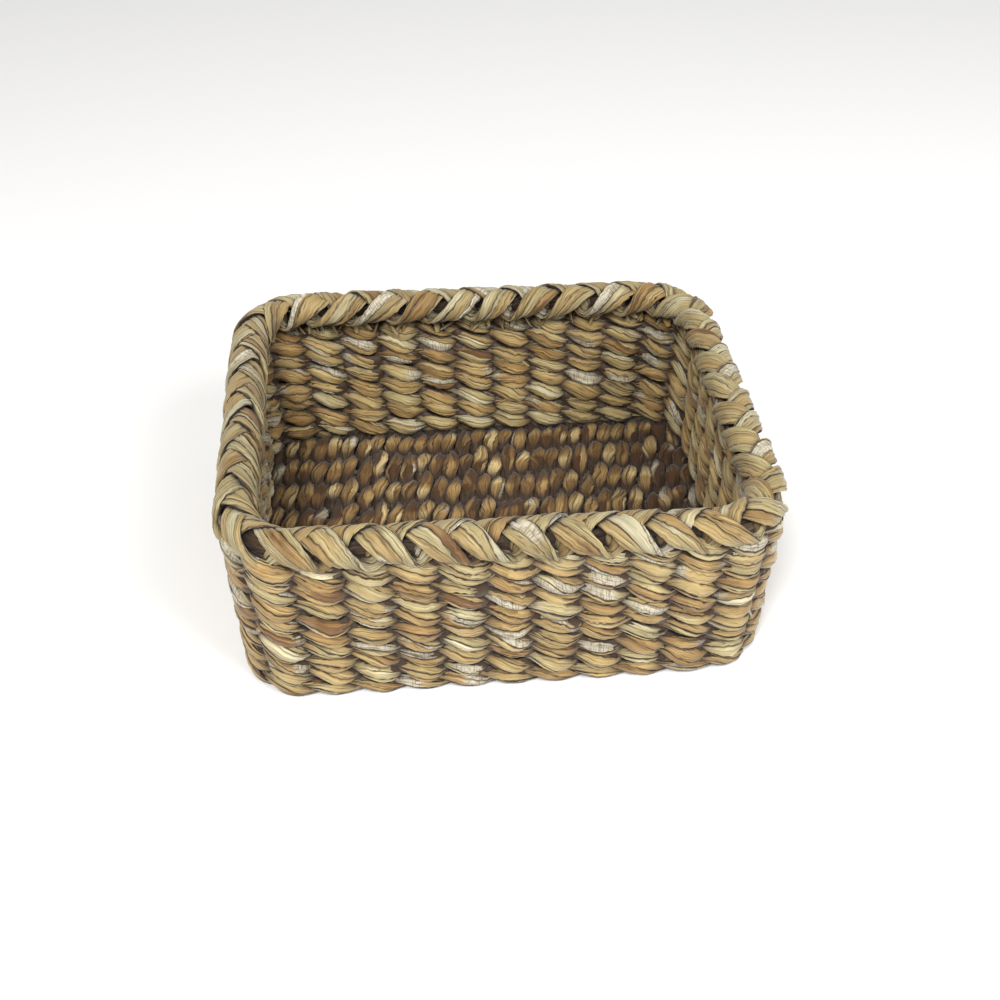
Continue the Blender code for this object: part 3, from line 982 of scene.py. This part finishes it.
def seagrass(name, colours, under_shade_strength, depth):
    """Dried leaf: a tint for each strip, streaks along it, brown edges, pale wool and painted
    shade.

    The third argument is how much painted shade a strip gets where it passes under another, and
    the fourth how much painted shade crevices get from ambient occlusion. The brown of the edges
    and undersides is partly the leaf's own and partly painted shadow.
    """
    material = bpy.data.materials.new(name)
    material.use_nodes = True
    tree = material.node_tree
    shader = tree.nodes["Principled BSDF"]
    link = tree.links.new

    look = add_node(tree, "ShaderNodeAttribute", (-1400, 300), attribute_name="look")
    parts = add_node(tree, "ShaderNodeSeparateXYZ", (-1200, 300))
    link(look.outputs["Vector"], parts.inputs[0])
    grain = add_node(tree, "ShaderNodeAttribute", (-1400, 0), attribute_name="grain")

    def noise(scale, place, detail):
        spread = add_node(tree, "ShaderNodeVectorMath", (-1200, place), operation="MULTIPLY")
        spread.inputs[1].default_value = scale
        link(grain.outputs["Vector"], spread.inputs[0])
        texture = add_node(tree, "ShaderNodeTexNoise", (-1000, place), Scale=1.0, Detail=detail)
        link(spread.outputs[0], texture.inputs["Vector"])
        return texture.outputs["Fac"]

    def maths(operation, first, second, third=None, clamp=False):
        made = add_node(tree, "ShaderNodeMath", (-700, 0), operation=operation, use_clamp=clamp)
        for index, value in enumerate((first, second, third)):
            if value is None:
                continue
            if isinstance(value, (int, float)):
                made.inputs[index].default_value = value
            else:
                link(value, made.inputs[index])
        return made.outputs[0]

    streaks = noise(STREAKS, 0, 2.0)
    blotches = noise(BLOTCHES, -250, 3.0)
    flecks = noise(FLECKS, -500, 2.0)
    fibre = noise(LINES, -900, 1.0)

    tint = maths("MULTIPLY_ADD", streaks, 0.34, parts.outputs[0])
    tint = maths("MULTIPLY_ADD", blotches, 0.55, tint)
    tint = maths("SUBTRACT", tint, 0.44)
    ramp = add_node(tree, "ShaderNodeValToRGB", (-500, 300))
    ramp.color_ramp.interpolation = "EASE"
    while len(ramp.color_ramp.elements) < len(colours):
        ramp.color_ramp.elements.new(0.5)
    for element, (place, colour) in zip(ramp.color_ramp.elements, colours):
        element.position = place
        element.color = (*colour, 1.0)
    link(tint, ramp.inputs[0])

    def mix(share, first, second, blend="MIX"):
        made = add_node(tree, "ShaderNodeMix", (-200, 200), data_type="RGBA", blend_type=blend)
        for socket, value in ((0, share), (6, first), (7, second)):
            if isinstance(value, (int, float)):
                made.inputs[socket].default_value = value
            elif isinstance(value, tuple):
                made.inputs[socket].default_value = (*value, 1.0)
            else:
                link(value, made.inputs[socket])
        return made.outputs[2]

    def above(value, threshold, gain):
        """How much of a value is over a threshold, with its gain, held between 0 and 1."""
        return maths("MULTIPLY", maths("SUBTRACT", value, threshold), gain, clamp=True)

    woolly = mix(above(flecks, 0.36, 6.0), WOOL_SHADOW, WOOL)
    colour = mix(parts.outputs[1], ramp.outputs[0], woolly)
    across = add_node(tree, "ShaderNodeSeparateXYZ", (-1200, -700))
    link(grain.outputs["Vector"], across.inputs[0])
    from_middle = maths("ABSOLUTE", maths("SUBTRACT", across.outputs[1], LEAF_WIDTH / 2), None)
    # Edges and undersides go towards dark brown: partly the leaf's own edge, partly painted shadow
    # there
    edge = above(from_middle, PLAIN_HALF_WIDTH, 1400.0)
    edge_wear_and_shadow = maths("MULTIPLY", edge, maths("MULTIPLY_ADD", blotches, 0.8, 0.45), clamp=True)
    colour = mix(edge_wear_and_shadow, colour, EDGE_BROWN_AND_SHADOW)
    spots = above(maths("MULTIPLY", blotches, flecks), 0.38, 8.0)
    colour = mix(maths("MULTIPLY", spots, 0.6), colour, SPOT_BROWN)
    bright = maths("MULTIPLY_ADD", blotches, 0.7, maths("MULTIPLY_ADD", streaks, 1.0, 0.10))
    line = maths("ABSOLUTE", maths("SUBTRACT", fibre, 0.5), None)
    line = maths("SUBTRACT", 1.0, maths("MULTIPLY", line, 30.0), clamp=True)
    colour = mix(maths("MULTIPLY", line, 0.75), colour, LINE_BROWN)
    value = add_node(tree, "ShaderNodeHueSaturation", (-100, 0))
    link(bright, value.inputs["Value"])
    link(colour, value.inputs["Color"])
    # Painted shade where a strip passes under another, from its darkness, mixed towards dark brown
    shade = maths("MULTIPLY", parts.outputs[2], under_shade_strength, clamp=True)
    colour = mix(shade, value.outputs[0], PAINTED_SHADE_BROWN)
    # Painted crevice shade: where ambient occlusion finds nearby surfaces, the colour goes to
    # near-black brown
    crevice = add_node(
        tree, "ShaderNodeAmbientOcclusion", (-600, -900), samples=4, Distance=CREVICE_REACH
    )
    crevice_shade = above(maths("SUBTRACT", 1.0, crevice.outputs["AO"]), 0.13, depth)
    colour = mix(crevice_shade, colour, PAINTED_CREVICE_SHADE)
    link(colour, shader.inputs["Base Color"])

    rough = maths("MULTIPLY_ADD", streaks, 0.35, 0.38)
    link(rough, shader.inputs["Roughness"])
    shader.inputs["Specular IOR Level"].default_value = 0.35
    shader.inputs["Sheen Weight"].default_value = 0.15
    shader.inputs["Sheen Roughness"].default_value = 0.5
    relief = maths("MULTIPLY_ADD", blotches, 0.8, streaks)
    relief = maths("SUBTRACT", relief, maths("MULTIPLY", line, 0.5))
    bump = add_node(tree, "ShaderNodeBump", (0, -300), Strength=0.7, Distance=0.0005)
    link(relief, bump.inputs["Height"])
    link(bump.outputs[0], shader.inputs["Normal"])
    return material


def make_floor():
    mesh = bpy.data.meshes.new("studio_floor")
    signs = ((-1, -1), (1, -1), (1, 1), (-1, 1))
    corners = [(FLOOR_REACH * x, FLOOR_REACH * y, 0) for x, y in signs]
    mesh.from_pydata(corners, [], [(0, 1, 2, 3)])
    material = bpy.data.materials.new("studio_paper")
    material.use_nodes = True
    shader = material.node_tree.nodes["Principled BSDF"]
    shader.inputs["Base Color"].default_value = (0.9, 0.9, 0.9, 1)
    shader.inputs["Roughness"].default_value = 0.9
    mesh.materials.append(material)
    add_object("studio_floor", mesh)


def area_light(name, place, size, power, colour):
    light = bpy.data.lights.new(name, "AREA")
    light.energy = power
    light.size = size
    light.color = colour
    lamp = add_object(name, light)
    lamp.location = place
    heading = Vector(LIT_POINT) - Vector(place)
    lamp.rotation_euler = heading.to_track_quat("-Z", "Y").to_euler()


def studio():
    world = bpy.data.worlds.new("studio")
    bpy.context.scene.world = world
    world.use_nodes = True
    background = world.node_tree.nodes["Background"]
    background.inputs["Color"].default_value = (1.0, 1.0, 1.0, 1.0)
    background.inputs["Strength"].default_value = 0.54
    area_light("key", (-0.45, -1.2, 1.6), 0.5, 32, (1.0, 0.98, 0.95))
    area_light("fill", (1.1, -1.1, 1.5), 1.0, 25, (1.0, 0.99, 0.97))
    bpy.context.scene.view_settings.view_transform = "Standard"


def make_camera():
    """Camera at the photograph's angle: above the front edge and a little to the left."""
    level = Vector((math.sin(CAMERA_YAW), math.cos(CAMERA_YAW), 0.0))
    right = Vector((level.y, -level.x, 0.0))
    forward = level * math.cos(CAMERA_PITCH) - Vector(UP) * math.sin(CAMERA_PITCH)
    above = right.cross(forward)
    turned = right * math.cos(CAMERA_ROLL) + above * math.sin(CAMERA_ROLL)
    raised = above * math.cos(CAMERA_ROLL) - right * math.sin(CAMERA_ROLL)
    data = bpy.data.cameras.new("camera")
    data.sensor_width = 36.0
    data.lens = CAMERA_LENS
    data.shift_x = CAMERA_SHIFT
    camera = add_object("camera", data)
    axes = Matrix((turned, raised, -forward)).transposed().to_4x4()
    camera.matrix_world = Matrix.Translation(CAMERA_PLACE) @ axes
    bpy.context.scene.camera = camera


def keep(piece, nodes):
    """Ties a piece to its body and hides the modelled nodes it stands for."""
    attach(piece, "root")
    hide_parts(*nodes)


def main():
    make_floor()
    studio()
    make_camera()
    # The last two numbers set each material's painted shade: under crossings, then in crevices
    leaf = seagrass("seagrass_leaf", LEAF_COLOURS, 0.50, 3.0)
    rim_leaf = seagrass("rim_leaf", RIM_COLOURS, 0.40, 2.8)
    base_leaf = seagrass("base_leaf", BASE_COLOURS, 1.05, 4.0)
    for course in range(COURSES + 1):
        for half in range(2):
            piece, name = wall_strand(course, half, leaf)
            nodes = [name] if course < COURSES else []
            keep(piece, nodes)
    for index in range(3):
        piece, name = rim_strand(index, rim_leaf)
        keep(piece, [name])
    keep(rim_filling(base_leaf), [])
    keep(cut_ends(leaf), [])
    keep(rim_fibres(rim_leaf), [])
    keep(stubs(leaf), [])
    for half in range(2):
        piece, name = foot_strand(half, leaf)
        keep(piece, [name])
    for part in range(BASE_PARTS):
        nodes = ["base_weave_lower", "base_weave_upper"] if part == 0 else []
        keep(base_rows(part, base_leaf), nodes)
    nodes = [f"cross_rod_{index + 1}" for index in range(CROSS_RODS)]
    keep(cross_rods(base_leaf), nodes)
    for kind, steps in stake_groups().items():
        nodes = [f"{kind}_{index + 1}" for index in range(len(steps))]
        keep(stakes(f"visual_{kind}s", steps, base_leaf), nodes)


main()
